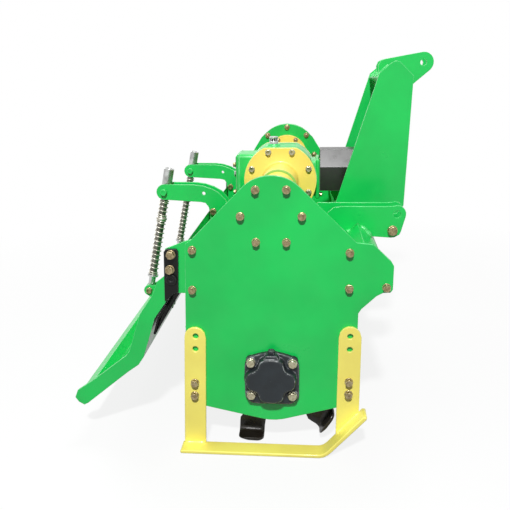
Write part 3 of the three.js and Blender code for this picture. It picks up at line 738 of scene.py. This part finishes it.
sprung = plated("spring_zinc", (0.62, 0.60, 0.52), (0.42, 0.39, 0.31), 0.36, 0.3, 60.0)
oiled = plated("oiled_steel", (0.22, 0.215, 0.19), (0.13, 0.12, 0.10), 0.30, 0.3, 60.0)
SEAT = 0.0522
rod_rows = [(0.0500, 0), (0.0500, 0.0112), (span + 0.0165, 0.0112), (span + 0.0165, 0)]
foot_rows = [(0.010, 0), (0.010, 0.0102), (0.042, 0.0110), (0.0445, 0.0120), (0.0455, 0.0172),
             (0.0500, 0.0175), (0.0512, 0.0165), (0.0515, 0.0114), (0.0515, 0)]
eye_rows = [(-0.0090, 0.0078), (-0.0090, 0.0150), (-0.0080, 0.0160), (0.0080, 0.0160), (0.0090, 0.0150),
            (0.0090, 0.0078), (-0.0090, 0.0078)]
# The sleeve nut is split down its front and back, where it is drawn up to grip the rod.
facing = np.abs(np.sin(2 * math.pi * np.arange(96) / 96 + 0.12))
split = 0.0155 - 0.0050 * np.exp(-((facing - 1) / 0.012) ** 2)
sleeve_rows = [(span + 0.0160, 0), (span + 0.0160, split - 0.0010), (span + 0.0172, split),
               (span + 0.0705, split), (span + 0.0720, split - 0.0015), (span + 0.0720, split * 0.62),
               (span + 0.0660, split * 0.58), (span + 0.0660, split * 0.50), (span + 0.0700, split * 0.47),
               (span + 0.0706, 0)]
loose_rows = [(0.2402, 0.0085), (0.2402, 0.0157), (0.2412, 0.0166), (0.2468, 0.0166), (0.2478, 0.0157),
              (0.2478, 0.0085), (0.2402, 0.0085)]
pivot_rows = [(-0.0290, 0), (-0.0290, 0.0070), (-0.0280, 0.0080), (-0.0182, 0.0080), (-0.0180, 0.0140),
              (-0.0170, 0.0150), (0.0170, 0.0150), (0.0180, 0.0140), (0.0182, 0.0080), (0.0280, 0.0080),
              (0.0290, 0.0070), (0.0290, 0)]
for name, side in (("near", -1), ("far", 1)):
    foot_at = in_side_view([ROD_EYE], side * ARM_Y)[0]
    body = f"rod_{name}"
    rod = mesh_piece(f"rod_{name}_turned", [turned(rod_rows, foot_at, lean, 32)], oiled, body)
    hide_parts(f"spring_rod_{name}")
    ends = [turned(sleeve_rows, foot_at, lean), turned(foot_rows, foot_at, lean, 36)]
    ends.append(turned(eye_rows, foot_at, (0, 1, 0), 36))
    mesh_piece(f"rod_{name}_ends", ends, silver, body)
    coils = [coil(SEAT, 0.2400, 13.5, foot_at, lean), coil(0.2480, span - 0.0302, 5.25, foot_at, lean)]
    coils.append(turned(loose_rows, foot_at, lean, 36))
    spring = mesh_piece(f"coil_springs_{name}", coils, sprung, body, 60.0)
    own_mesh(spring)
    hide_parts(f"tail_spring_{name}")
    x, y, z = in_side_view([PIVOT], side * ARM_Y)[0]
    parts = [turned(pivot_rows, (x, y, z), (0, 1, 0), 40)]
    for out in (-1, 1):
        parts.append(hex_bolt((x, y + out * 0.0281, z), (0, out, 0), 0.0185, 0.0085, 0.0105, 0.9))
    pivot = mesh_piece(f"pivot_{name}", parts, green, f"trunnion_{name}")
    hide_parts(f"trunnion_{name}")


# ---- Rotor ----
# A steel tube with six welded flanges. Each carries six forged blades on two bolts each, bent by turns to
# either side, or on the end flanges outwards. Their black dipped paint wears off the cutting edges.
blade_paint = cast_paint("black_dipped_paint", (0.009, 0.007, 0.005), (0.08, 0.07, 0.06), 0.32, 0.15)
TUBE_R = 0.038
half_rows = [(0.585, TUBE_R), (0.603, TUBE_R), (0.604, 0.0370), (0.604, 0)]
tube_rows = [(-h, radius) for h, radius in half_rows[::-1]] + half_rows
tube_skin = turned(tube_rows, (AXIS_X, 0, ROTOR_Z), (0, 1, 0), 72)
tube = mesh_piece("rotor_tube_round", [tube_skin], blade_paint, "rotor")
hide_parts("rotor_tube")

TRAILING = np.array([(0.048, -0.026), (0.112, -0.027), (0.150, -0.018), (0.178, -0.002), (0.2149, -0.0032)])
LEADING = np.array([(0.048, 0.026), (0.110, 0.029), (0.140, 0.040), (0.163, 0.060), (0.190, 0.071),
                    (0.2224, 0.0678)])
END_OUT = np.array([0.0710, -0.0075]) / math.hypot(0.0710, 0.0075)


def along_line(corners, shares):
    """Points on a polyline by their share of its length."""
    steps = np.concatenate([[0], np.cumsum(np.linalg.norm(np.diff(corners, axis=0), axis=1))])
    return np.stack([np.interp(shares * steps[-1], steps, corners[:, i]) for i in range(2)], 1)


def blade(degrees, y, side):
    """One blade. Rows run from the root outwards and then sideways round a bend of 16 mm, columns go round
    its section. A row's middle line joins the trailing to the leading edge; half the thickness, 4 mm, stands
    off it along the bend's normal and thins to 1 mm at the leading edge. The free corners are rounded."""
    bend, thick, width = 0.016, 0.004, 0.057
    shares = np.concatenate([[0, 0], np.linspace(0.0, 1.0, 12)])
    back = (bend + thick) * np.clip((shares - 0.45) / 0.55, 0, 1) ** 2
    arc = np.linspace(0, math.pi / 2, 8)[1:]
    flat_run = np.array([0.2, 0.4, 0.6, 0.75, 0.87, 0.95, 0.99, 1.0, 1.0])
    phi = np.concatenate([np.zeros(len(shares)), arc, np.full(len(flat_run), math.pi / 2)])
    offset = np.concatenate([-back, -thick - bend * (1 - np.sin(arc)), np.full(len(flat_run), -thick)])
    root = 2 * thick
    reach = [np.full(len(shares), root), root + bend * (1 - np.cos(arc))]
    reach = np.concatenate(reach + [root + bend + flat_run * (width - root - bend)])
    rows = len(phi)
    held = np.concatenate([shares, np.ones(rows - len(shares))])
    trail, lead = [along_line(edge, held) + offset[:, None] * END_OUT for edge in (TRAILING, LEADING)]
    corner = 0.27 * (1 - np.sqrt(1 - np.clip((flat_run - 0.5) / 0.5, 0, 1) ** 2))
    narrow = np.concatenate([np.zeros(rows - len(flat_run)), corner])
    v = np.array([0.0, 0.03, 0.2, 0.45, 0.68, 0.8, 0.9, 1.0])
    half = thick * np.array([0.55, 1.0, 1.0, 1.0, 1.0, 0.85, 0.55, 0.22])
    loop = np.concatenate([v, v[::-1]])
    share = narrow[:, None] + loop[None] * (1 - 2 * narrow[:, None])
    middle = trail[:, None] + share[:, :, None] * (lead - trail)[:, None]
    closing = np.ones(rows)
    closing[[0, -1]] = 0.0
    push = np.concatenate([half, -half[::-1]])[None] * closing[:, None]
    out = middle + (push * np.sin(phi)[:, None])[:, :, None] * END_OUT
    sideways = y + side * (reach[:, None] - push * np.cos(phi)[:, None])
    turned_by = math.radians(degrees)
    x = out[:, :, 0] * math.cos(turned_by) + out[:, :, 1] * math.sin(turned_by)
    z = out[:, :, 0] * math.sin(turned_by) - out[:, :, 1] * math.cos(turned_by)
    return np.stack([AXIS_X + x, sideways, ROTOR_Z + z], -1), skin(rows, len(loop))


hub_rows = [(-0.005, 0.0375), (-0.005, 0.0740), (-0.004, 0.0750), (0.004, 0.0750), (0.005, 0.0740),
            (0.005, 0.0375), (-0.005, 0.0375)]
circle = np.linspace(0, 2 * math.pi, 61)
ring_x = AXIS_X + TUBE_R * np.cos(circle)
ring_z = ROTOR_Z + TUBE_R * np.sin(circle)
for i in range(6):
    y = 0.218 * (i - 2.5)
    parts = [turned(hub_rows, (AXIS_X, y, ROTOR_Z), (0, 1, 0), 60)]
    heads = []
    for k in range(6):
        degrees = 22 + 60 * k
        side = {0: -1, 5: 1}.get(i, 1 if k % 2 else -1)
        parts.append(blade(degrees, y, side))
        a = math.radians(degrees)
        for ahead in (-0.013, 0.013):
            x = AXIS_X + 0.061 * math.cos(a) + ahead * math.sin(a)
            z = ROTOR_Z + 0.061 * math.sin(a) - ahead * math.cos(a)
            heads.append(hex_bolt((x, y + side * 0.012, z), (0, side, 0), 0.013, 0.006, 0.0085))
            heads.append(hex_bolt((x, y - side * 0.005, z), (0, -side, 0), 0.013, 0.006, 0.0085))
    for out in (-1, 1):
        path = np.stack([ring_x, np.full(len(circle), y + out * 0.0055), ring_z], 1)
        parts.append(weld(path, 0.004))
    flange = mesh_piece(f"blades_{i + 1}", parts, blade_paint, "rotor", 40.0)
    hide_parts(f"blade_flange_{i + 1}")
    mesh_piece(f"blade_bolts_{i + 1}", heads, blade_paint, "rotor")


# ---- Floor and light ----
# A pale floor that meets a white world, a soft lamp high on the near side as the main light, and two wide
# weak ones. The floor shows white to the lens and keeps a faint shadow.
def seen_directly(tree):
    """1 for rays from the camera, off a shiny surface or through glass, and 0 for the light on the piece."""
    rays = node(tree, "LightPath").outputs
    most = rays["Is Camera Ray"]
    for kind in ("Is Glossy Ray", "Is Transmission Ray"):
        most = node(tree, "Math", {0: most, 1: rays[kind]}, operation="MAXIMUM").outputs["Value"]
    return most


REACH = 12.0
corners = [(-REACH, -REACH, 0), (REACH, -REACH, 0), (REACH, REACH, 0), (-REACH, REACH, 0)]
floor_data = bpy.data.meshes.new("floor")
floor_data.from_pydata(corners, [], [(0, 1, 2, 3)])
floor = bpy.data.objects.new("floor", floor_data)
bpy.context.scene.collection.objects.link(floor)
pale, floor_tree, matt = new_finish("pale_floor")
join(floor_tree, matt, {"Base Color": (0.80, 0.80, 0.80, 1), "Roughness": 0.9, "Specular IOR Level": 0.0})
white = node(floor_tree, "Emission", {"Color": (1, 1, 1, 1), "Strength": 1.0}).outputs[0]
spot = node(floor_tree, "TexCoord").outputs["Object"]
away = node(floor_tree, "VectorMath", {0: spot}, operation="LENGTH").outputs["Value"]
shown = spread(floor_tree, away, 0.9, 2.4, 0.86, 1.0)
lit = node(floor_tree, "MixShader", {0: shown, 1: matt.outputs[0], 2: white}).outputs[0]
dim = node(floor_tree, "BsdfDiffuse", {"Color": (0.13, 0.13, 0.13, 1)}).outputs[0]
both = node(floor_tree, "MixShader", {0: seen_directly(floor_tree), 1: dim, 2: lit}).outputs[0]
join(floor_tree, floor_tree.nodes["Material Output"], {"Surface": both})
floor_data.materials.append(pale)

world = bpy.data.worlds.new("studio")
world.use_nodes = True
sky = world.node_tree
strength = spread(sky, seen_directly(sky), 0.0, 1.0, 0.085, 1.0)
join(sky, sky.nodes["Background"], {"Color": (1, 1, 1, 1), "Strength": strength})
bpy.context.scene.world = world


def lamp(name, place, target, size, power):
    """A square soft lamp at a place, turned to a target."""
    made = bpy.data.objects.new(name, bpy.data.lights.new(name, "AREA"))
    made.data.size = size
    made.data.energy = power
    towards = np.array(target) - np.array(place)
    backward = -towards / np.linalg.norm(towards)
    side_way = np.cross((0, 0, 1), backward)
    side_way /= np.linalg.norm(side_way)
    rows = np.column_stack([side_way, np.cross(backward, side_way), backward]).tolist()
    made.matrix_world = Matrix.Translation(place) @ Matrix(rows).to_4x4()
    bpy.context.scene.collection.objects.link(made)


lamp("main_lamp", (0.0, -4.1, 4.3), (0.0, -0.3, 0.45), 0.30, 332.0)
lamp("top_lamp", (0.2, 0.9, 4.2), (0.0, 0.1, 0.5), 1.3, 55.0)
lamp("rear_lamp", (-2.6, 3.0, 2.4), (0.0, 0.0, 0.5), 2.0, 55.0)
bpy.context.scene.view_settings.view_transform = "Standard"
